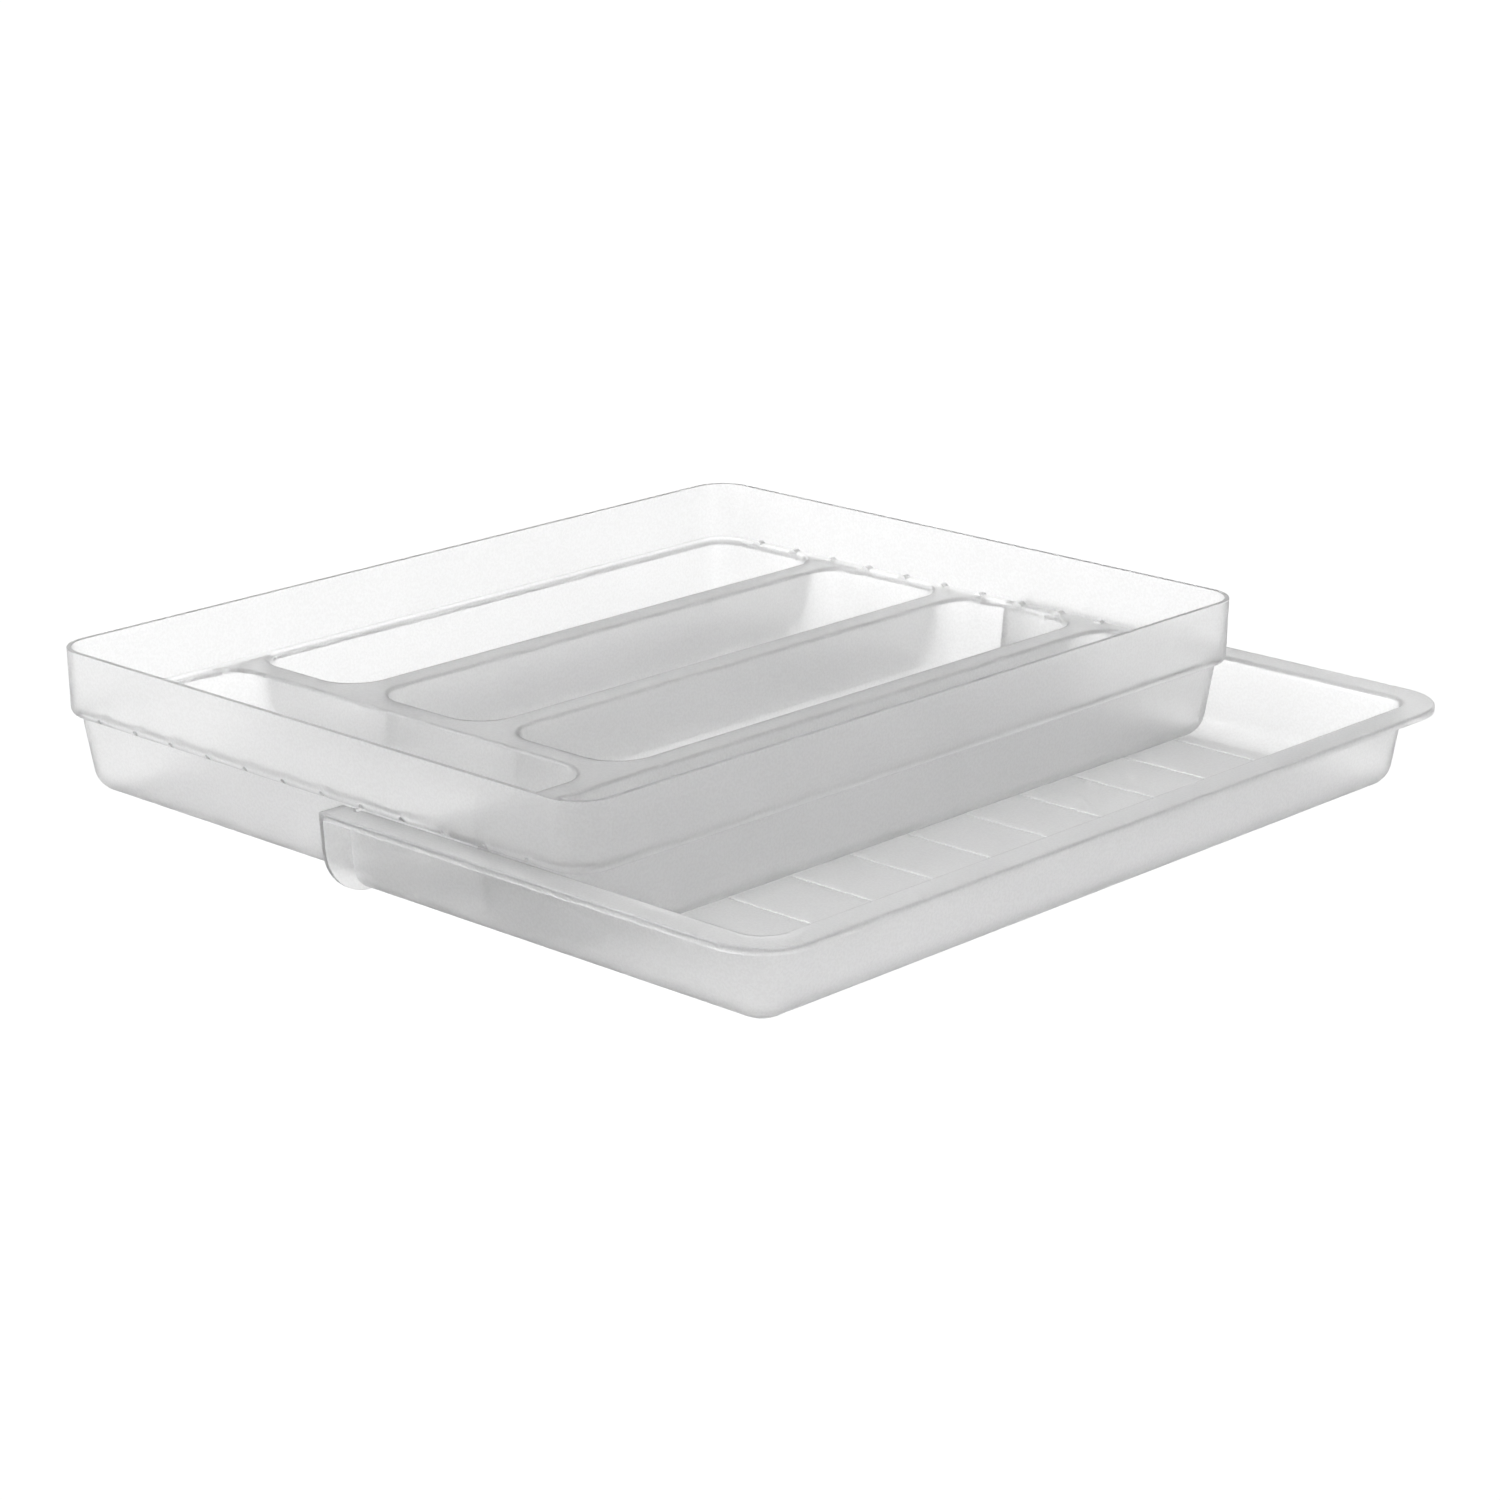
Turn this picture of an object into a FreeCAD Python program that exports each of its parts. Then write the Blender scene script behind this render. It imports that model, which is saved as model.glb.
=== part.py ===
import FreeCAD, Part
import os
import Sketcher
from math import pi, sqrt
from FreeCAD import Vector

# A cutlery tray in two mouldings: a compartment tray with five bowls, and an
# extension tray under it that is pulled out sideways to widen the whole.
# Lengths are in millimetres, angles in degrees, counts are plain numbers.
SIZES = (
    # compartment tray, rim
    ("tray_width", "303.3"),
    ("tray_length", "390.0"),
    ("tray_height", "60.7"),
    ("rim_corner", "16.0"),
    ("rim_wall", "2.0"),
    ("rim_draft", "1.2"),
    ("rim_drop", "24.4"),
    ("ledge_round", "3.9"),
    ("ledge_flat", "0.15"),
    # compartment tray, plate and bowls
    ("plate_depth", "24.7"),
    ("plate", "2.0"),
    ("bowl_wall", "1.8"),
    ("bowl_draft", "6.2"),
    ("bowl_corner", "12.0"),
    ("corner_swell", "1.0"),
    ("bowl_fillet", "11.5"),
    ("compartment_corner", "17.0"),
    ("corner_fade", "2.0"),
    ("edge_round", "1.6"),
    ("divider", "11.8"),
    ("divider_pitch", "77.0"),
    ("cross_place", "92.8"),
    # detent notches along the front and back sides of the compartment tray
    ("notch_count", "12"),
    ("notch_pitch", "22.4"),
    ("notch_width", "2.4"),
    ("notch_skin", "1.6"),
    ("bump_height", "1.0"),
    # extension tray
    ("extension_length", "227.7"),
    ("wall", "2.0"),
    ("floor", "2.0"),
    ("side_gap", "2.0"),
    ("front_gap", "1.0"),
    ("lip_width", "14.1"),
    ("lip", "2.0"),
    ("lip_edge", "2.95"),
    ("lip_nest", "0.7"),
    ("lip_round", "3.2"),
    ("lip_corner", "24.2"),
    ("lip_soft", "0.8"),
    ("end_draft", "4.5"),
    ("end_round", "22.0"),
    ("end_plate", "2.0"),
    ("rib_count", "11"),
    ("rib_pitch", "34.2"),
    ("rib_width", "1.5"),
    ("rib_height", "0.4"),
    ("rib_margin", "3.0"),
    ("tooth_width", "2.0"),
    ("tooth_depth", "2.6"),
    ("tooth_height", "1.1"),
    # where the extension tray stands at rest, in notches
    ("tooth_notch", "4"),
    ("rest_notches", "4"),
    # how far a cutting shape runs past the face it opens
    ("overrun", "1.0"),
)

TOLERANCE = 0.02

doc = FreeCAD.newDocument("cutlery_tray")
sheet = doc.addObject("Spreadsheet::Sheet", "Sizes")
for row, (alias, figure) in enumerate(SIZES, start=1):
    sheet.set(f"A{row}", alias)
    sheet.set(f"B{row}", figure)
    sheet.setAlias(f"B{row}", alias)
doc.recompute()

derived = doc.addObject("App::VarSet", "Derived")
ALIASES = tuple(alias for alias, figure in SIZES)


def derive(name, formula):
    """Names a size that follows from others; a word in the formula is a named size."""
    words = formula.split()
    bound = [path(word) if word.isidentifier() and word not in FUNCTIONS else word for word in words]
    derived.addProperty("App::PropertyFloat", name)
    derived.setExpression(name, " ".join(bound))
    derived.recompute()


FUNCTIONS = ("deg",)


def path(name):
    """The place of a named size in the document."""
    if name in ALIASES:
        return "Sizes." + name
    return "Derived." + name


def number(name):
    """The present figure of a named size."""
    if name in ALIASES:
        return float(sheet.get(name))
    return getattr(derived, name)


# slopes of the drafted walls
derive("rim_slope", "tan( rim_draft * 1 deg )")
derive("slope", "tan( bowl_draft * 1 deg )")
derive("end_slope", "tan( end_draft * 1 deg )")

# heights above the surface the tray stands on
derive("base", "0")
derive("rib_top", "floor + rib_height")
derive("tray_foot", "rib_top")
derive("tray_floor", "tray_foot + bowl_wall")
derive("rim_top", "tray_foot + tray_height")
derive("rim_open", "rim_top + overrun")
derive("ledge_foot", "rim_top - rim_drop - ledge_round")
derive("plate_top", "rim_top - plate_depth")
derive("plate_under", "plate_top - plate")
derive("plate_middle", "plate_top - plate / 2")
derive("under_open", "ledge_foot - overrun")
derive("lip_top", "ledge_foot + lip_nest")
derive("lip_open", "lip_top + overrun")
derive("lip_under", "lip_top - lip")
derive("skirt_foot", "lip_top - lip_edge")

# rim of the compartment tray, half sizes about its middle
derive("half_x", "tray_width / 2")
derive("half_y", "tray_length / 2")
derive("minus_half_x", "- half_x")
derive("minus_half_y", "- half_y")
derive("rim_foot_in", "( rim_drop + ledge_round ) * rim_slope")
derive("rim_foot_x", "half_x - rim_foot_in")
derive("rim_foot_y", "half_y - rim_foot_in")
derive("minus_rim_foot_x", "- rim_foot_x")
derive("minus_rim_foot_y", "- rim_foot_y")
derive("rim_foot_corner", "rim_corner - rim_foot_in")
derive("pocket_x", "half_x - rim_wall + overrun * rim_slope")
derive("pocket_y", "half_y - rim_wall + overrun * rim_slope")
derive("minus_pocket_x", "- pocket_x")
derive("minus_pocket_y", "- pocket_y")
derive("pocket_corner", "rim_corner - rim_wall")
derive("pocket_foot_x", "half_x - rim_wall - plate_depth * rim_slope")
derive("pocket_foot_y", "half_y - rim_wall - plate_depth * rim_slope")
derive("minus_pocket_foot_x", "- pocket_foot_x")
derive("minus_pocket_foot_y", "- pocket_foot_y")
derive("pocket_foot_corner", "pocket_corner - plate_depth * rim_slope")

# bowls: outer faces at the foot of the ledge, inner edges at the plate
derive("bowl_in", "rim_foot_in + ledge_round + ledge_flat")
derive("bowl_x", "half_x - bowl_in")
derive("bowl_y", "half_y - bowl_in")
derive("inner_in", "bowl_in + bowl_wall - ( plate_top - ledge_foot ) * slope")
derive("inner_x", "half_x - inner_in")
derive("inner_y", "half_y - inner_in")
derive("minus_inner_x", "- inner_x")
derive("minus_inner_y", "- inner_y")
derive("recess_x", "bowl_x - bowl_wall")
derive("recess_y", "bowl_y - bowl_wall")
derive("minus_recess_x", "- recess_x")
derive("minus_recess_y", "- recess_y")
derive("recess_corner", "bowl_corner - bowl_wall")
derive("first_left", "- divider_pitch - divider / 2")
derive("first_right", "- divider_pitch + divider / 2")
derive("second_left", "- divider / 2")
derive("second_right", "divider / 2")
derive("third_left", "divider_pitch - divider / 2")
derive("third_right", "divider_pitch + divider / 2")
derive("cross_front", "cross_place - divider / 2 - half_y")
derive("cross_back", "cross_place + divider / 2 - half_y")

# how far the drafted walls of a bowl move in from the plate's edge
derive("shift_inner_top", "0")
derive("shift_inner_foot", "( plate_top - tray_floor ) * slope")
derive("shift_outer_top", "plate / 2 * slope - bowl_wall")
derive("shift_outer_foot", "( plate_top - tray_foot ) * slope - bowl_wall")

# corners of a bowl, at a corner of the tray and at a divider
derive("own_outer_top", "bowl_corner")
derive("own_outer_foot", "bowl_corner + corner_swell")
derive("own_inner_top", "bowl_corner - bowl_wall")
derive("own_inner_foot", "bowl_corner + corner_swell - bowl_wall")
derive("near_inner_top", "compartment_corner")
derive("near_inner_foot", "compartment_corner - corner_fade")
derive("near_outer_top", "compartment_corner + bowl_wall")
derive("near_outer_foot", "compartment_corner - corner_fade + bowl_wall")
derive("bowl_fillet_inner", "bowl_fillet - bowl_wall")

# the five compartments: left, right, front, back, then which corners are the tray's own
COMPARTMENTS = (
    ("cross", "minus_inner_x", "third_left", "minus_inner_y", "cross_front", ("front_left",)),
    ("long_a", "minus_inner_x", "first_left", "cross_back", "inner_y", ("back_left",)),
    ("long_b", "first_right", "second_left", "cross_back", "inner_y", ()),
    ("long_c", "second_right", "third_left", "cross_back", "inner_y", ()),
    ("long_d", "third_right", "inner_x", "minus_inner_y", "inner_y", ("front_right", "back_right")),
)
CORNERS = ("back_right", "back_left", "front_left", "front_right")

for space, left, right, front, back, own in COMPARTMENTS:
    for stage in ("inner_top", "inner_foot", "outer_top", "outer_foot"):
        derive(f"{space}_left_{stage}", f"{left} + shift_{stage}")
        derive(f"{space}_right_{stage}", f"{right} - shift_{stage}")
        derive(f"{space}_front_{stage}", f"{front} + shift_{stage}")
        derive(f"{space}_back_{stage}", f"{back} - shift_{stage}")

# detent notches and the bumps over them
derive("bump_radius", "notch_width / 2 + notch_skin")
derive("notch_radius", "notch_width / 2")
derive("notch_middle", "plate_top + bump_height - bump_radius")
derive("notch_span", "( notch_count - 1 ) * notch_pitch")
derive("notch_first", "- notch_span / 2")
derive("bump_start", "pocket_foot_y + rim_wall / 2")
derive("minus_bump_start", "- bump_start")
derive("bump_length", "bump_start - inner_y")
derive("minus_bowl_y", "- bowl_y")
derive("notch_length", "bowl_in + overrun")

# extension tray pushed right in: cavity, wall, lip and open end
derive("cavity_x", "bowl_x + front_gap + lip_nest * slope")
derive("cavity_y", "bowl_y + side_gap + lip_nest * slope")
derive("minus_cavity_y", "- cavity_y")
derive("cavity_open_x", "cavity_x + overrun * slope")
derive("cavity_open_y", "cavity_y + overrun * slope")
derive("minus_cavity_open_y", "- cavity_open_y")
derive("cavity_foot_x", "cavity_x - ( lip_top - floor ) * slope")
derive("cavity_foot_y", "cavity_y - ( lip_top - floor ) * slope")
derive("minus_cavity_foot_y", "- cavity_foot_y")
derive("block_x", "cavity_x + wall")
derive("block_y", "cavity_y + wall")
derive("minus_block_y", "- block_y")
derive("block_foot_x", "block_x - lip_top * slope")
derive("block_foot_y", "block_y - lip_top * slope")
derive("minus_block_foot_y", "- block_foot_y")
derive("lip_x", "cavity_x + lip_width")
derive("lip_y", "cavity_y + lip_width")
derive("minus_lip_y", "- lip_y")
derive("skirt_x", "lip_x - lip")
derive("skirt_y", "lip_y - lip")
derive("minus_skirt_y", "- skirt_y")
derive("end_x", "lip_x - extension_length")
derive("skirt_end_x", "end_x + lip")
derive("stock_x", "end_x - overrun")
derive("cavity_end_x", "stock_x - overrun")
derive("end_stock", "end_plate + overrun")
derive("trim_length", "overrun + overrun")
derive("trim_y", "lip_y + overrun")
derive("minus_trim_y", "- trim_y")
derive("trim_foot", "- overrun")
derive("cavity_corner", "lip_corner - lip_width")
derive("block_corner", "cavity_corner + wall")
derive("block_foot_corner", "block_corner + corner_swell")
derive("cavity_foot_corner", "cavity_corner + corner_swell")
derive("skirt_corner", "lip_corner - lip")
derive("cavity_fillet", "bowl_fillet - wall")
derive("end_turn_y", "lip_y - ( lip_top - end_round ) * end_slope - end_round")
derive("end_root_y", "block_foot_y - bowl_fillet - wall")
derive("rib_span", "( rib_count - 1 ) * rib_pitch")
derive("rib_first", "- rib_span / 2")
derive("rib_left", "rib_first - rib_width / 2")
derive("rib_right", "rib_first + rib_width / 2")
derive("rib_root", "floor - rib_height")
derive("rib_start", "end_x + rib_margin")
derive("rib_end", "cavity_foot_x - bowl_fillet")
derive("rib_length", "rib_end - rib_start")
derive("tooth_x", "( tooth_notch - 1 ) * notch_pitch - notch_span / 2")
derive("tooth_left", "tooth_x - tooth_width / 2")
derive("tooth_right", "tooth_x + tooth_width / 2")
derive("tooth_root", "lip_top - lip / 2")
derive("tooth_rise", "lip_top + tooth_height - tooth_width / 2")
derive("tooth_radius", "tooth_width / 2")
derive("tooth_start", "rim_foot_y + tooth_depth")
derive("minus_tooth_start", "- tooth_start")

# the whole stands about the middle of its own outline at rest
derive("rest_shift", "rest_notches * notch_pitch")
derive("tray_place", "( half_x - lip_x - rest_shift ) / 2")
derive("extension_place", "tray_place + rest_shift")
doc.recompute()


def plane(body, role):
    """One of a body's own origin planes or axes."""
    return next(item for item in body.Origin.OriginFeatures if item.Role == role)


def new_sketch(body, name, role, offset):
    """An empty sketch on an origin plane, moved along the plane's normal by a named size."""
    sketch = body.newObject("Sketcher::SketchObject", name)
    sketch.AttachmentSupport = [(plane(body, role), "")]
    sketch.MapMode = "FlatFace"
    sketch.setExpression("AttachmentOffset.Base.z", path(offset))
    return sketch


def pin(sketch, kind, where, size, name):
    """A dimension in a sketch, bound to a named size."""
    index = sketch.addConstraint(Sketcher.Constraint(kind, *where, number(size)))
    sketch.renameConstraint(index, name)
    sketch.setExpression("Constraints." + name, path(size))


def rule(sketch, kind, *where):
    """A constraint without a figure of its own."""
    sketch.addConstraint(Sketcher.Constraint(kind, *where))


def segment(sketch, start, end):
    """A straight line between two points of a sketch."""
    return sketch.addGeometry(Part.LineSegment(Vector(*start), Vector(*end)), False)


def arc(sketch, middle, radius, start, end):
    """An arc of a sketch, angles in radians."""
    circle = Part.Circle(Vector(*middle), Vector(0, 0, 1), radius)
    return sketch.addGeometry(Part.ArcOfCircle(circle, start, end), False)


def outline(sketch, left, right, front, back, radii, tag=""):
    """A rectangle with its own radius, or none, at each corner, drawn anticlockwise."""
    x_low = number(left)
    x_high = number(right)
    y_low = number(front)
    y_high = number(back)
    rounds = [number(size) if size else 0 for size in radii]
    back_right, back_left, front_left, front_right = rounds
    sides = (
        ((x_high, y_low + front_right), (x_high, y_high - back_right)),
        ((x_high - back_right, y_high), (x_low + back_left, y_high)),
        ((x_low, y_high - back_left), (x_low, y_low + front_left)),
        ((x_low + front_left, y_low), (x_high - front_right, y_low)),
    )
    middles = (
        (x_high - back_right, y_high - back_right),
        (x_low + back_left, y_high - back_left),
        (x_low + front_left, y_low + front_left),
        (x_high - front_right, y_low + front_right),
    )
    lines = [segment(sketch, start, end) for start, end in sides]
    for turn, size in enumerate(radii):
        here = lines[turn]
        after = lines[(turn + 1) % len(lines)]
        if size:
            quarter = pi / 2
            bend = arc(sketch, middles[turn], rounds[turn], turn * quarter, (turn + 1) * quarter)
            rule(sketch, "Tangent", here, 2, bend, 1)
            rule(sketch, "Tangent", bend, 2, after, 1)
            pin(sketch, "Radius", (bend,), size, f"{CORNERS[turn]}{tag}")
        else:
            rule(sketch, "Coincident", here, 2, after, 1)
    rule(sketch, "Vertical", lines[0])
    rule(sketch, "Horizontal", lines[1])
    rule(sketch, "Vertical", lines[2])
    rule(sketch, "Horizontal", lines[3])
    pin(sketch, "DistanceX", (-1, 1, lines[0], 1), right, f"right{tag}")
    pin(sketch, "DistanceY", (-1, 1, lines[1], 1), back, f"back{tag}")
    pin(sketch, "DistanceX", (-1, 1, lines[2], 1), left, f"left{tag}")
    pin(sketch, "DistanceY", (-1, 1, lines[3], 1), front, f"front{tag}")


def loft(body, name, kind, sections):
    """A ruled loft between two outlines, added to the body or cut from it."""
    sketches = []
    for ending, height, sides, radii in sections:
        sketch = new_sketch(body, f"{name}_{ending}", "XY_Plane", height)
        outline(sketch, *sides, radii)
        sketches.append(sketch)
    doc.recompute()
    feature = body.newObject(kind, name)
    feature.Profile = sketches[0]
    feature.Sections = [sketches[1]]
    feature.Ruled = True
    doc.recompute()
    return feature


def soften(body, name, feature, edges, radius):
    """A fillet along the named edges."""
    fillet = body.newObject("PartDesign::Fillet", name)
    fillet.Base = (feature, edges)
    fillet.setExpression("Radius", path(radius))
    doc.recompute()
    return fillet


def edges_at(feature, height, keep):
    """Names of the level edges at a height whose middle the keep test accepts."""
    names = []
    for place, edge in enumerate(feature.Shape.Edges, start=1):
        box = edge.BoundBox
        level = abs(box.ZMin - height) < TOLERANCE and abs(box.ZMax - height) < TOLERANCE
        if level and keep(box):
            names.append(f"Edge{place}")
    return names


def within(box, left, right, front, back):
    """Whether an edge's box lies inside a rectangle of named sizes."""
    across = box.XMin > number(left) - TOLERANCE and box.XMax < number(right) + TOLERANCE
    along = box.YMin > number(front) - TOLERANCE and box.YMax < number(back) + TOLERANCE
    return across and along


def cut_out(body, name, hollows):
    """Whole bodies taken out of a body."""
    feature = body.newObject("PartDesign::Boolean", name)
    feature.setObjects(hollows)
    feature.Type = "Cut"
    body.Tip = feature
    doc.recompute()
    return feature


def row_of(body, name, feature, role, span, count):
    """A feature repeated in a straight row."""
    pattern = body.newObject("PartDesign::LinearPattern", name)
    pattern.Originals = [feature]
    pattern.Direction = (plane(body, role), [""])
    pattern.setExpression("Length", path(span))
    pattern.setExpression("Occurrences", path(count))
    body.Tip = pattern
    doc.recompute()
    return pattern


def pad(body, name, sketch, length):
    """A pad of a named length along the sketch's normal."""
    feature = body.newObject("PartDesign::Pad", name)
    feature.Profile = sketch
    feature.setExpression("Length", path(length))
    doc.recompute()
    return feature


def corner_radii(own, stage):
    """The four corner sizes of a bowl outline, tighter at the tray's own corners."""
    return [f"own_{stage}" if corner in own else f"near_{stage}" for corner in CORNERS]


# Compartment tray
tray = doc.addObject("PartDesign::Body", "CompartmentTray")
tray.Label = "compartment_tray"

rim_radii = ["rim_corner"] * len(CORNERS)
rim_foot_radii = ["rim_foot_corner"] * len(CORNERS)
rim_block = loft(
    tray,
    "rim_block",
    "PartDesign::AdditiveLoft",
    (
        ("top", "rim_top", ("minus_half_x", "half_x", "minus_half_y", "half_y"), rim_radii),
        (
            "foot",
            "ledge_foot",
            ("minus_rim_foot_x", "rim_foot_x", "minus_rim_foot_y", "rim_foot_y"),
            rim_foot_radii,
        ),
    ),
)
foot_edges = edges_at(rim_block, number("ledge_foot"), lambda box: True)
ledge = soften(tray, "ledge", rim_block, foot_edges, "ledge_round")

recess_sketch = new_sketch(tray, "under_plate_outline", "XY_Plane", "plate_under")
recess_radii = ["recess_corner"] * len(CORNERS)
outline(recess_sketch, "minus_recess_x", "recess_x", "minus_recess_y", "recess_y", recess_radii)
doc.recompute()
recess = tray.newObject("PartDesign::Pocket", "under_plate")
recess.Profile = recess_sketch
recess.setExpression("Length", "Derived.plate_under - Derived.under_open")
doc.recompute()

for space, left, right, front, back, own in COMPARTMENTS:
    stages = []
    for ending, height in (("outer_top", "plate_middle"), ("outer_foot", "tray_foot")):
        sides = [f"{space}_{side}_{ending}" for side in ("left", "right", "front", "back")]
        stages.append((ending, height, sides, corner_radii(own, ending)))
    bowl = loft(tray, f"{space}_bowl", "PartDesign::AdditiveLoft", stages)
bottom_edges = edges_at(bowl, number("tray_foot"), lambda box: True)
bottoms = soften(tray, "bowl_bottoms", bowl, bottom_edges, "bowl_fillet")

pocket_radii = ["pocket_corner"] * len(CORNERS)
pocket_foot_radii = ["pocket_foot_corner"] * len(CORNERS)
rim_pocket = loft(
    tray,
    "rim_pocket",
    "PartDesign::SubtractiveLoft",
    (
        ("top", "rim_open", ("minus_pocket_x", "pocket_x", "minus_pocket_y", "pocket_y"), pocket_radii),
        (
            "foot",
            "plate_top",
            ("minus_pocket_foot_x", "pocket_foot_x", "minus_pocket_foot_y", "pocket_foot_y"),
            pocket_foot_radii,
        ),
    ),
)

hollows = []
for space, left, right, front, back, own in COMPARTMENTS:
    hollow = doc.addObject("PartDesign::Body", f"{space}_hollow")
    stages = []
    for ending, height in (("inner_top", "plate_top"), ("inner_foot", "tray_floor")):
        sides = [f"{space}_{side}_{ending}" for side in ("left", "right", "front", "back")]
        stages.append((ending, height, sides, corner_radii(own, ending)))
    space_block = loft(hollow, f"{space}_space", "PartDesign::AdditiveLoft", stages)
    floor_edges = edges_at(space_block, number("tray_floor"), lambda box: True)
    soften(hollow, f"{space}_floor", space_block, floor_edges, "bowl_fillet_inner")
    hollows.append(hollow)
compartments = cut_out(tray, "compartments", hollows)


def on_plate(box):
    """Whether a level edge runs round one of the compartments."""
    spans = [[f"{space[0]}_{side}_inner_top" for side in ("left", "right", "front", "back")]
             for space in COMPARTMENTS]
    return any(within(box, *span) for span in spans)


mouth_edges = edges_at(compartments, number("plate_top"), on_plate)
soften(tray, "compartment_edges", compartments, mouth_edges, "edge_round")


def dome(sketch, middle, height, radius):
    """Half a disc standing on its flat side."""
    across = number(middle)
    up = number(height)
    size = number(radius)
    flat = segment(sketch, (across - size, up), (across + size, up))
    bend = arc(sketch, (across, up), size, 0, pi)
    rule(sketch, "Coincident", flat, 2, bend, 1)
    rule(sketch, "Coincident", bend, 2, flat, 1)
    rule(sketch, "Horizontal", flat)
    rule(sketch, "PointOnObject", bend, 3, flat)
    pin(sketch, "DistanceX", (-1, 1, bend, 3), middle, "middle")
    pin(sketch, "DistanceY", (-1, 1, bend, 3), height, "height")
    pin(sketch, "Radius", (bend,), radius, "radius")


def arch(sketch, middle, height, radius, foot):
    """An upright slot with a round head and a flat foot."""
    across = number(middle)
    up = number(height)
    size = number(radius)
    low = number(foot)
    bend = arc(sketch, (across, up), size, 0, pi)
    left = segment(sketch, (across - size, up), (across - size, low))
    flat = segment(sketch, (across - size, low), (across + size, low))
    right = segment(sketch, (across + size, low), (across + size, up))
    rule(sketch, "Tangent", bend, 2, left, 1)
    rule(sketch, "Coincident", left, 2, flat, 1)
    rule(sketch, "Coincident", flat, 2, right, 1)
    rule(sketch, "Tangent", right, 2, bend, 1)
    rule(sketch, "Vertical", left)
    rule(sketch, "Horizontal", flat)
    pin(sketch, "DistanceX", (-1, 1, bend, 3), middle, "middle")
    pin(sketch, "DistanceY", (-1, 1, bend, 3), height, "height")
    pin(sketch, "Radius", (bend,), radius, "radius")
    pin(sketch, "DistanceY", (-1, 1, flat, 1), foot, "foot")


# the XZ plane faces front, so an offset along its normal is counted towards the front
for side, start, reach, turned in (
    ("back", "minus_bump_start", "minus_bowl_y", False),
    ("front", "bump_start", "bowl_y", True),
):
    bump_sketch = new_sketch(tray, f"bump_{side}_outline", "XZ_Plane", start)
    dome(bump_sketch, "notch_first", "notch_middle", "bump_radius")
    doc.recompute()
    bump = pad(tray, f"bump_{side}", bump_sketch, "bump_length")
    bump.Reversed = turned
    doc.recompute()
    row_of(tray, f"bumps_{side}", bump, "X_Axis", "notch_span", "notch_count")
    notch_sketch = new_sketch(tray, f"notch_{side}_outline", "XZ_Plane", reach)
    arch(notch_sketch, "notch_first", "notch_middle", "notch_radius", "under_open")
    doc.recompute()
    notch = tray.newObject("PartDesign::Pocket", f"notch_{side}")
    notch.Profile = notch_sketch
    notch.setExpression("Length", path("notch_length"))
    notch.Reversed = turned
    doc.recompute()
    row_of(tray, f"notches_{side}", notch, "X_Axis", "notch_span", "notch_count")

# Extension tray
extension = doc.addObject("PartDesign::Body", "ExtensionTray")
extension.Label = "extension_tray"


def front_radii(size):
    """Corner sizes of an outline that is square at the open end."""
    return [size, None, None, size]


loft(
    extension,
    "block",
    "PartDesign::AdditiveLoft",
    (
        ("top", "lip_top", ("stock_x", "block_x", "minus_block_y", "block_y"), front_radii("block_corner")),
        (
            "foot",
            "base",
            ("stock_x", "block_foot_x", "minus_block_foot_y", "block_foot_y"),
            front_radii("block_foot_corner"),
        ),
    ),
)
block = doc.getObject("block")


def off_end(box):
    """Whether an edge is clear of the open end's own face."""
    return box.XMax > number("end_x") + TOLERANCE


block_edges = edges_at(block, number("base"), off_end)
soften(extension, "block_bottom", block, block_edges, "bowl_fillet")

lip_sketch = new_sketch(extension, "lip_outline", "XY_Plane", "lip_under")
outline(lip_sketch, "stock_x", "lip_x", "minus_lip_y", "lip_y", front_radii("lip_corner"))
doc.recompute()
pad(extension, "lip_plate", lip_sketch, "lip")

skirt_sketch = new_sketch(extension, "skirt_outline", "XY_Plane", "skirt_foot")
outline(skirt_sketch, "stock_x", "lip_x", "minus_lip_y", "lip_y", front_radii("lip_corner"))
outline(
    skirt_sketch,
    "skirt_end_x",
    "skirt_x",
    "minus_skirt_y",
    "skirt_y",
    front_radii("skirt_corner"),
    "_inside",
)
doc.recompute()
pad(extension, "skirt", skirt_sketch, "lip_edge")


def end_outline(sketch, sign):
    """The plate that closes the open end of a side wall, seen along the slide."""
    root = sign * number("end_root_y")
    turn = sign * number("end_turn_y")
    high = number("lip_top")
    size = number("end_round")
    edge = sign * number("lip_y")
    lean = number("end_slope")
    length = sqrt(1 + lean * lean)
    touch = (turn + sign * size / length, size - size * lean / length)
    top = segment(sketch, (root, high), (edge, high))
    outer = segment(sketch, (edge, high), touch)
    if sign > 0:
        bend = arc(sketch, (turn, size), size, -pi / 2, -lean)
        low, upper = 1, 2
    else:
        bend = arc(sketch, (turn, size), size, pi + lean, pi + pi / 2)
        low, upper = 2, 1
    flat = segment(sketch, (turn, 0), (root, 0))
    back = segment(sketch, (root, 0), (root, high))
    rule(sketch, "Coincident", top, 2, outer, 1)
    rule(sketch, "Tangent", outer, 2, bend, upper)
    rule(sketch, "Tangent", bend, low, flat, 1)
    rule(sketch, "Coincident", flat, 2, back, 1)
    rule(sketch, "Coincident", back, 2, top, 1)
    rule(sketch, "Horizontal", top)
    rule(sketch, "Horizontal", flat)
    rule(sketch, "Vertical", back)
    rule(sketch, "PointOnObject", flat, 2, -1)
    names = ("end_root_y", "end_turn_y", "lip_y") if sign > 0 else tuple(MINUS_END)
    pin(sketch, "DistanceX", (-1, 1, back, 1), names[0], "root")
    pin(sketch, "DistanceX", (-1, 1, top, 2), names[2], "edge")
    pin(sketch, "DistanceY", (-1, 1, top, 1), "lip_top", "height")
    pin(sketch, "DistanceX", (-1, 1, bend, 3), names[1], "turn")
    pin(sketch, "Radius", (bend,), "end_round", "round")


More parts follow.
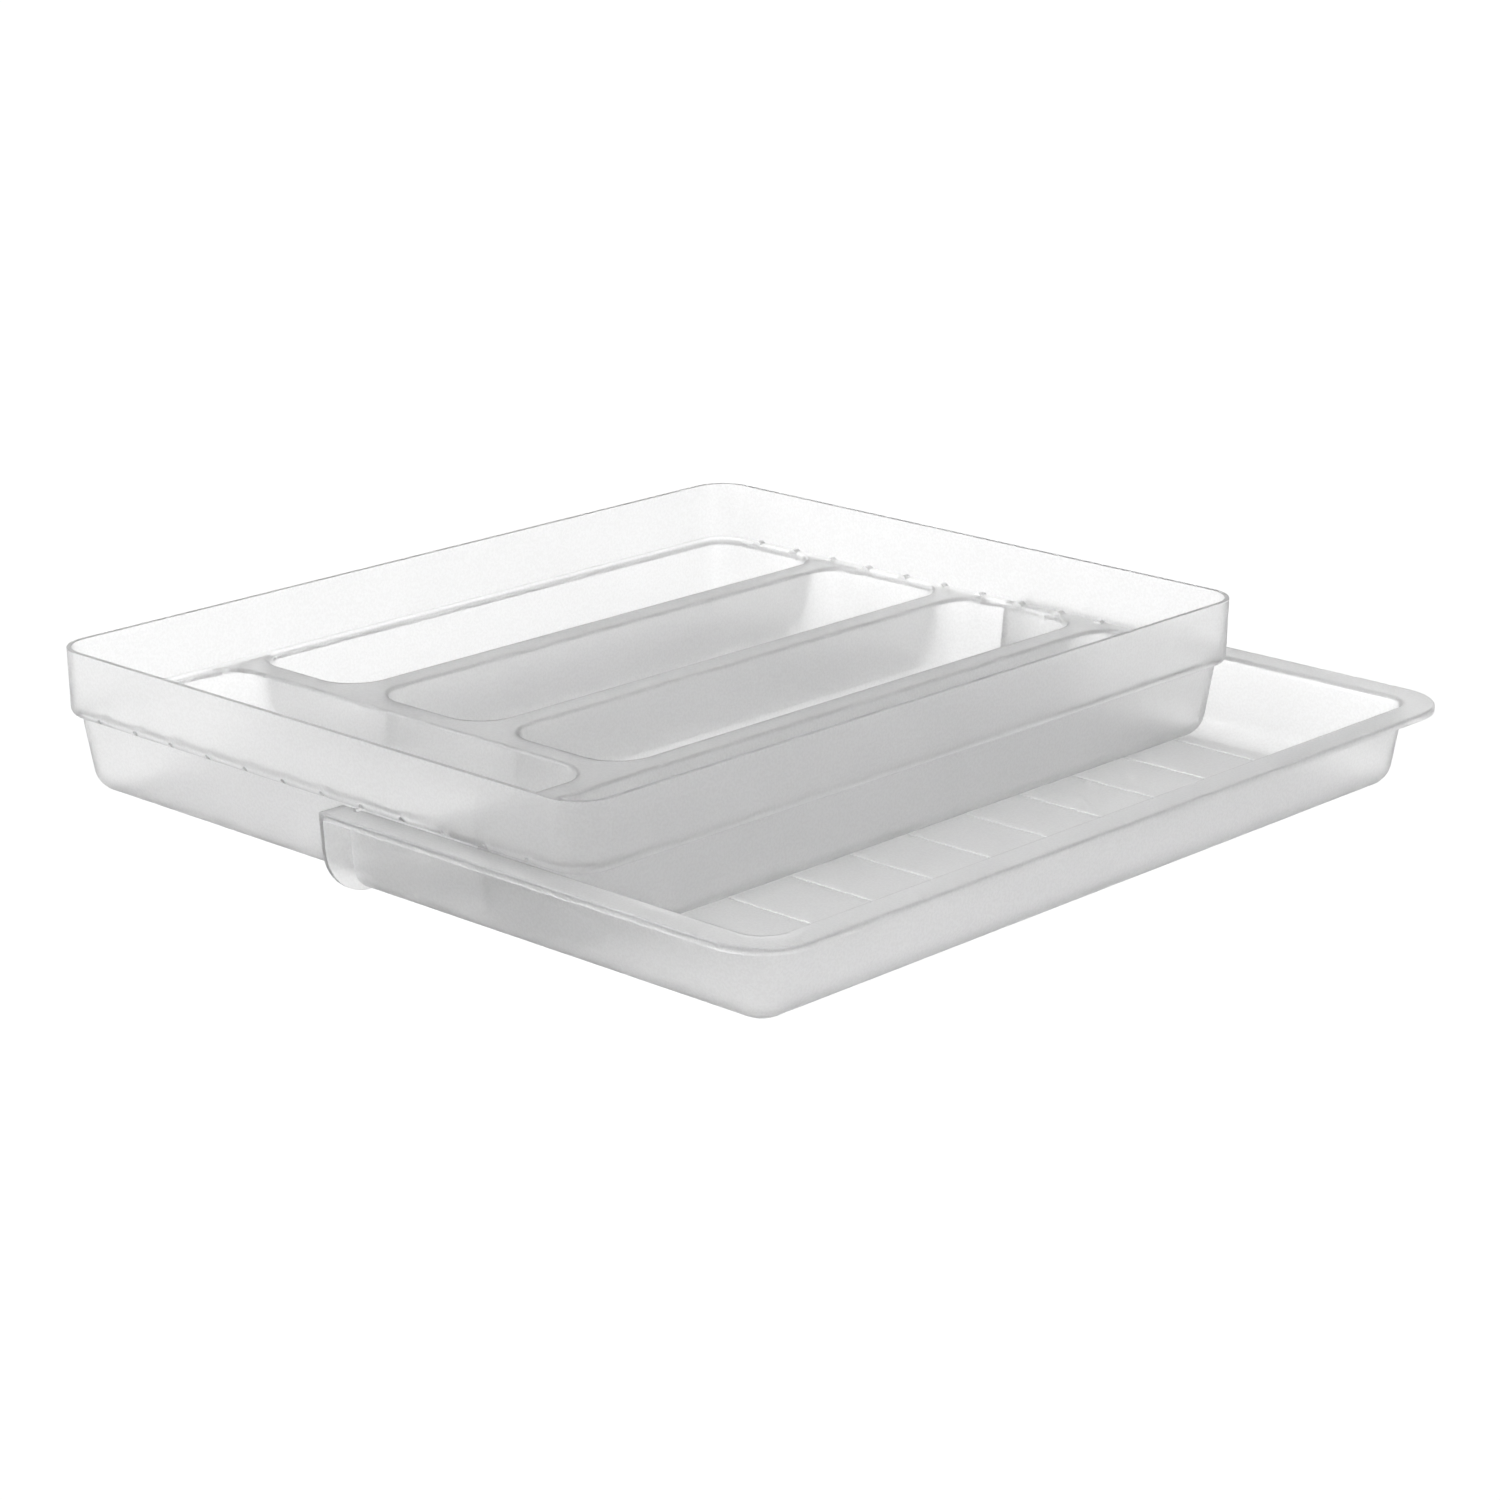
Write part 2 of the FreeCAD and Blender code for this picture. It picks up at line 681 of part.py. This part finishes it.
derive("minus_end_root_y", "- end_root_y")
derive("minus_end_turn_y", "- end_turn_y")
MINUS_END = ("minus_end_root_y", "minus_end_turn_y", "minus_lip_y")
for side, sign in (("back", 1), ("front", -1)):
    end_sketch = new_sketch(extension, f"end_{side}_outline", "YZ_Plane", "stock_x")
    end_outline(end_sketch, sign)
    doc.recompute()
    pad(extension, f"end_{side}", end_sketch, "end_stock")

cavity_open_sides = ("cavity_end_x", "cavity_open_x", "minus_cavity_open_y", "cavity_open_y")
cavity_foot_sides = ("cavity_end_x", "cavity_foot_x", "minus_cavity_foot_y", "cavity_foot_y")
cavity_body = doc.addObject("PartDesign::Body", "cavity_hollow")
cavity_space = loft(
    cavity_body,
    "cavity_space",
    "PartDesign::AdditiveLoft",
    (
        ("top", "lip_open", cavity_open_sides, front_radii("cavity_corner")),
        ("foot", "floor", cavity_foot_sides, front_radii("cavity_foot_corner")),
    ),
)


def off_cavity_end(box):
    """Whether an edge of the cavity is clear of its square end."""
    return box.XMax > number("cavity_end_x") + TOLERANCE


cavity_edges = edges_at(cavity_space, number("floor"), off_cavity_end)
soften(cavity_body, "cavity_floor", cavity_space, cavity_edges, "cavity_fillet")
cut_out(extension, "cavity", [cavity_body])

# one flat face across the open end
trim_sketch = new_sketch(extension, "open_end_outline", "YZ_Plane", "end_x")
outline(trim_sketch, "minus_trim_y", "trim_y", "trim_foot", "lip_open", [None] * len(CORNERS))
doc.recompute()
open_end = extension.newObject("PartDesign::Pocket", "open_end")
open_end.Profile = trim_sketch
open_end.setExpression("Length", path("trim_length"))
doc.recompute()


def lip_inside(box):
    """Whether a level edge runs along the mouth of the cavity."""
    return off_end(box) and within(box, "cavity_end_x", "block_x", "minus_block_y", "block_y")


def lip_outside(box):
    """Whether a level edge runs along the outer edge of the lip."""
    return off_end(box) and not lip_inside(box)


inside_edges = edges_at(open_end, number("lip_top"), lip_inside)
lip_mouth = soften(extension, "lip_mouth", open_end, inside_edges, "lip_round")
outside_edges = edges_at(lip_mouth, number("lip_top"), lip_outside)
soften(extension, "lip_rim", lip_mouth, outside_edges, "lip_soft")

rib_sketch = new_sketch(extension, "rib_outline", "YZ_Plane", "rib_start")
rib_low = number("rib_root")
rib_mid = number("rib_first")
rib_half = number("rib_width") / 2
rib_high = number("rib_top")
rib_flat = segment(rib_sketch, (rib_mid - rib_half, rib_low), (rib_mid + rib_half, rib_low))
rib_right = segment(rib_sketch, (rib_mid + rib_half, rib_low), (rib_mid + rib_half, rib_high))
rib_crest = segment(rib_sketch, (rib_mid + rib_half, rib_high), (rib_mid - rib_half, rib_high))
rib_left = segment(rib_sketch, (rib_mid - rib_half, rib_high), (rib_mid - rib_half, rib_low))
for here, after in (
    (rib_flat, rib_right),
    (rib_right, rib_crest),
    (rib_crest, rib_left),
    (rib_left, rib_flat),
):
    rule(rib_sketch, "Coincident", here, 2, after, 1)
rule(rib_sketch, "Horizontal", rib_flat)
rule(rib_sketch, "Horizontal", rib_crest)
rule(rib_sketch, "Vertical", rib_right)
rule(rib_sketch, "Vertical", rib_left)
pin(rib_sketch, "DistanceX", (-1, 1, rib_left, 1), "rib_left", "left")
pin(rib_sketch, "DistanceX", (-1, 1, rib_right, 1), "rib_right", "right")
pin(rib_sketch, "DistanceY", (-1, 1, rib_flat, 1), "rib_root", "root")
pin(rib_sketch, "DistanceY", (-1, 1, rib_crest, 1), "rib_top", "crest")
doc.recompute()
rib = pad(extension, "rib", rib_sketch, "rib_length")
row_of(extension, "ribs", rib, "Y_Axis", "rib_span", "rib_count")

for side, start, turned in (("back", "minus_tooth_start", False), ("front", "tooth_start", True)):
    tooth_sketch = new_sketch(extension, f"tooth_{side}_outline", "XZ_Plane", start)
    arch(tooth_sketch, "tooth_x", "tooth_rise", "tooth_radius", "tooth_root")
    doc.recompute()
    tooth = pad(extension, f"tooth_{side}", tooth_sketch, "tooth_depth")
    tooth.Reversed = turned
    doc.recompute()

tray.setExpression("Placement.Base.x", path("tray_place"))
extension.setExpression("Placement.Base.x", path("extension_place"))
doc.recompute()

for item in doc.Objects:
    if "Invalid" in item.State or "Error" in item.State:
        raise RuntimeError("not built: " + item.Label)

os.makedirs("parts", exist_ok=True)
for body in (tray, extension):
    if body.Shape.isNull() or not body.Shape.isValid():
        raise RuntimeError("bad shape: " + body.Label)
    if len(body.Shape.Solids) != 1:
        raise RuntimeError("more than one piece: " + body.Label)
for body in (tray, extension):
    body.Shape.exportStep(f"parts/{body.Label}.step")
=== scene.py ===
from math import radians

import bpy
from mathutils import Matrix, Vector

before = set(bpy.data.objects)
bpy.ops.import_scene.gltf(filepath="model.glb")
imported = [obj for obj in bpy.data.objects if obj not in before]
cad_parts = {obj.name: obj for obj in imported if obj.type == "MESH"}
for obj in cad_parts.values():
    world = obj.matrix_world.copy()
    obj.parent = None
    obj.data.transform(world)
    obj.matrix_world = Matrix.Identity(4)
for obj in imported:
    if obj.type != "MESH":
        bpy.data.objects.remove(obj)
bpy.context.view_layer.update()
scene = bpy.context.scene

# Camera, solved from the photograph's edges: metres, degrees and millimetres
CAMERA_PLACE = (1.05799, -1.12440, 0.50223)
CAMERA_AZIMUTH = 43.25
CAMERA_ELEVATION = 17.41
LENS_MM = 95.8
SENSOR_MM = 36.0
CAMERA_REACH = 50.0

# Frosted plastic: how see-through it is, its milky inside, and its fine moulded grain and haze, in metres
CLEAR = 0.93
MILK_SHARE = 1.0
MILK_SPREAD = (1.0, 1.0, 1.0)
MILK_DEPTH = 0.005
PLASTIC_IOR = 1.49
GRAIN_PER_METRE = 900.0
GRAIN_DETAIL = 3.0
GRAIN_BREAKUP = 0.65
GRAIN_RANGE = (0.44, 0.56)
GRAIN_TINT = (0.91, 1.0)
GRAIN_BUMP = 0.04
GRAIN_HEIGHT = 0.0002
HAZE_PER_METRE = 40.0
HAZE_DETAIL = 2.0
HAZE_BREAKUP = 0.5
HAZE_RANGE = (0.35, 0.65)
HAZE_ROUGHNESS = (0.276, 0.30)

# Low ribs across the extension tray's floor, in metres; their tops are made milkier as a painted
# highlight, so that they show as pale lines
RIB_HIGHLIGHT_CLEAR = 0.6
RIB_PITCH = 0.0342
RIB_HALF_WIDTH = 0.00085
RIB_CREST = 0.0024
RIB_REACH = 0.0003

# Floor, just below the underside, and lights: metres, watts and brightness
FLOOR_REACH = 6.0
FLOOR_DROP = 0.0006
FLOOR_PALE = 0.20
FLOOR_SHINE = 0.0
FLOOR_ROUGHNESS = 1.0
FLOOR_GLOW = 0.65
FLOOR_SEEN = 1.05
ROOM_LIGHT = 0.44
AIM = (0.0, 0.0, 0.03)
SOFTBOXES = (
    ("softbox_top", (0.0, 0.0, 1.6), 3.0, 67.0),
    ("softbox_left", (-1.2, -1.6, 1.0), 1.5, 48.0),
    ("softbox_right", (1.9, -0.3, 0.9), 1.5, 22.0),
)
LIGHT_BOUNCES = 32


def grey(level):
    """An opaque neutral colour of one level."""
    return (level, level, level, 1.0)


def node(tree, kind, **values):
    """A shader node with its unlinked sockets set by name."""
    made = tree.nodes.new(kind)
    for name, value in values.items():
        made.inputs[name.replace("_", " ")].default_value = value
    return made


def frosted(name):
    """Frosted see-through polypropylene: fine grain, a little haze and a milky inside."""
    material = bpy.data.materials.new(name)
    material.use_nodes = True
    tree = material.node_tree
    shader = tree.nodes["Principled BSDF"]
    place = tree.nodes.new("ShaderNodeTexCoord")
    grain = node(
        tree,
        "ShaderNodeTexNoise",
        Scale=GRAIN_PER_METRE,
        Detail=GRAIN_DETAIL,
        Roughness=GRAIN_BREAKUP,
    )
    haze = node(
        tree,
        "ShaderNodeTexNoise",
        Scale=HAZE_PER_METRE,
        Detail=HAZE_DETAIL,
        Roughness=HAZE_BREAKUP,
    )
    for texture in (grain, haze):
        tree.links.new(place.outputs["Object"], texture.inputs["Vector"])

    tint = tree.nodes.new("ShaderNodeValToRGB")
    for element, position, level in zip(tint.color_ramp.elements, GRAIN_RANGE, GRAIN_TINT):
        element.position = position
        element.color = grey(level)
    tree.links.new(grain.outputs["Fac"], tint.inputs["Fac"])
    tree.links.new(tint.outputs["Color"], shader.inputs["Base Color"])

    rough = node(
        tree,
        "ShaderNodeMapRange",
        From_Min=HAZE_RANGE[0],
        From_Max=HAZE_RANGE[1],
        To_Min=HAZE_ROUGHNESS[0],
        To_Max=HAZE_ROUGHNESS[1],
    )
    tree.links.new(haze.outputs["Fac"], rough.inputs["Value"])
    tree.links.new(rough.outputs["Result"], shader.inputs["Roughness"])

    bump = node(tree, "ShaderNodeBump", Strength=GRAIN_BUMP, Distance=GRAIN_HEIGHT)
    tree.links.new(grain.outputs["Fac"], bump.inputs["Height"])
    tree.links.new(bump.outputs["Normal"], shader.inputs["Normal"])

    shader.distribution = "MULTI_GGX"
    shader.inputs["IOR"].default_value = PLASTIC_IOR
    shader.inputs["Transmission Weight"].default_value = CLEAR
    shader.inputs["Subsurface Weight"].default_value = MILK_SHARE
    shader.inputs["Subsurface Radius"].default_value = MILK_SPREAD
    shader.inputs["Subsurface Scale"].default_value = MILK_DEPTH
    return material


def maths(tree, operation, first, *others):
    """The output of a maths node, fed by a socket and then by sockets or numbers."""
    made = tree.nodes.new("ShaderNodeMath")
    made.operation = operation
    tree.links.new(first, made.inputs[0])
    for entry, other in zip(made.inputs[1:], others):
        if isinstance(other, float):
            entry.default_value = other
        else:
            tree.links.new(other, entry)
    return made.outputs["Value"]


def paint_rib_highlights(material):
    """Painted highlight: makes the low ribs across the floor less clear, so milkier and paler, than the
    sheet around them.
    """
    tree = material.node_tree
    place = tree.nodes.new("ShaderNodeTexCoord")
    axes = tree.nodes.new("ShaderNodeSeparateXYZ")
    tree.links.new(place.outputs["Object"], axes.inputs["Vector"])
    off_middle = maths(tree, "PINGPONG", axes.outputs["Y"], RIB_PITCH / 2)
    on_rib = maths(tree, "COMPARE", off_middle, 0.0, RIB_HALF_WIDTH)
    on_crest = maths(tree, "COMPARE", axes.outputs["Z"], RIB_CREST, RIB_REACH)
    # Painted highlight: the rib tops picked out here are made less clear so they read as pale lines
    rib_highlight = maths(tree, "MULTIPLY", on_rib, on_crest)
    clear = node(tree, "ShaderNodeMapRange", To_Min=CLEAR, To_Max=RIB_HIGHLIGHT_CLEAR)
    tree.links.new(rib_highlight, clear.inputs["Value"])
    shader = tree.nodes["Principled BSDF"]
    tree.links.new(clear.outputs["Result"], shader.inputs["Transmission Weight"])


for name in ("compartment_tray", "extension_tray"):
    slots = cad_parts[name].data.materials
    slots.clear()
    slots.append(frosted("frosted_" + name))
# Painted highlight on the extension tray's floor ribs
paint_rib_highlights(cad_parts["extension_tray"].data.materials[0])


def pale_floor(name):
    """A plain pale floor, pure white to the camera and softly shaded below the trays."""
    material = bpy.data.materials.new(name)
    material.use_nodes = True
    tree = material.node_tree
    shader = tree.nodes["Principled BSDF"]
    shader.inputs["Base Color"].default_value = grey(FLOOR_PALE)
    shader.inputs["Specular IOR Level"].default_value = FLOOR_SHINE
    shader.inputs["Roughness"].default_value = FLOOR_ROUGHNESS
    shader.inputs["Emission Color"].default_value = grey(1.0)
    shader.inputs["Emission Strength"].default_value = FLOOR_GLOW
    seen = node(tree, "ShaderNodeEmission", Strength=FLOOR_SEEN)
    path = tree.nodes.new("ShaderNodeLightPath")
    mix = tree.nodes.new("ShaderNodeMixShader")
    tree.links.new(path.outputs["Is Camera Ray"], mix.inputs["Fac"])
    tree.links.new(shader.outputs["BSDF"], mix.inputs[1])
    tree.links.new(seen.outputs["Emission"], mix.inputs[2])
    tree.links.new(mix.outputs["Shader"], tree.nodes["Material Output"].inputs["Surface"])
    return material


floor_mesh = bpy.data.meshes.new("floor")
floor_corners = [
    (-FLOOR_REACH, -FLOOR_REACH, 0.0),
    (FLOOR_REACH, -FLOOR_REACH, 0.0),
    (FLOOR_REACH, FLOOR_REACH, 0.0),
    (-FLOOR_REACH, FLOOR_REACH, 0.0),
]
floor_mesh.from_pydata(floor_corners, [], [range(len(floor_corners))])
floor_mesh.materials.append(pale_floor("floor_pale"))
floor = bpy.data.objects.new("floor", floor_mesh)
floor.location.z = -FLOOR_DROP
floor.visible_glossy = False
scene.collection.objects.link(floor)

world = bpy.data.worlds.new("studio")
world.use_nodes = True
room = world.node_tree.nodes["Background"]
room.inputs["Color"].default_value = grey(1.0)
room.inputs["Strength"].default_value = ROOM_LIGHT
scene.world = world

# The softboxes are hidden from mirror rays, so that they leave no bright image on the flat faces
for name, place, size, watts in SOFTBOXES:
    light_data = bpy.data.lights.new(name, "AREA")
    light_data.size = size
    light_data.energy = watts
    light = bpy.data.objects.new(name, light_data)
    light.location = place
    light.rotation_euler = (Vector(AIM) - Vector(place)).to_track_quat("-Z", "Y").to_euler()
    light.visible_glossy = False
    scene.collection.objects.link(light)

camera_data = bpy.data.cameras.new("camera")
camera_data.sensor_width = SENSOR_MM
camera_data.lens = LENS_MM
camera_data.clip_end = CAMERA_REACH
camera = bpy.data.objects.new("camera", camera_data)
camera.location = CAMERA_PLACE
camera.rotation_euler = (radians(90.0 - CAMERA_ELEVATION), 0.0, radians(CAMERA_AZIMUTH))
scene.collection.objects.link(camera)
scene.camera = camera

scene.view_settings.view_transform = "Standard"
scene.cycles.max_bounces = LIGHT_BOUNCES
scene.cycles.transmission_bounces = LIGHT_BOUNCES
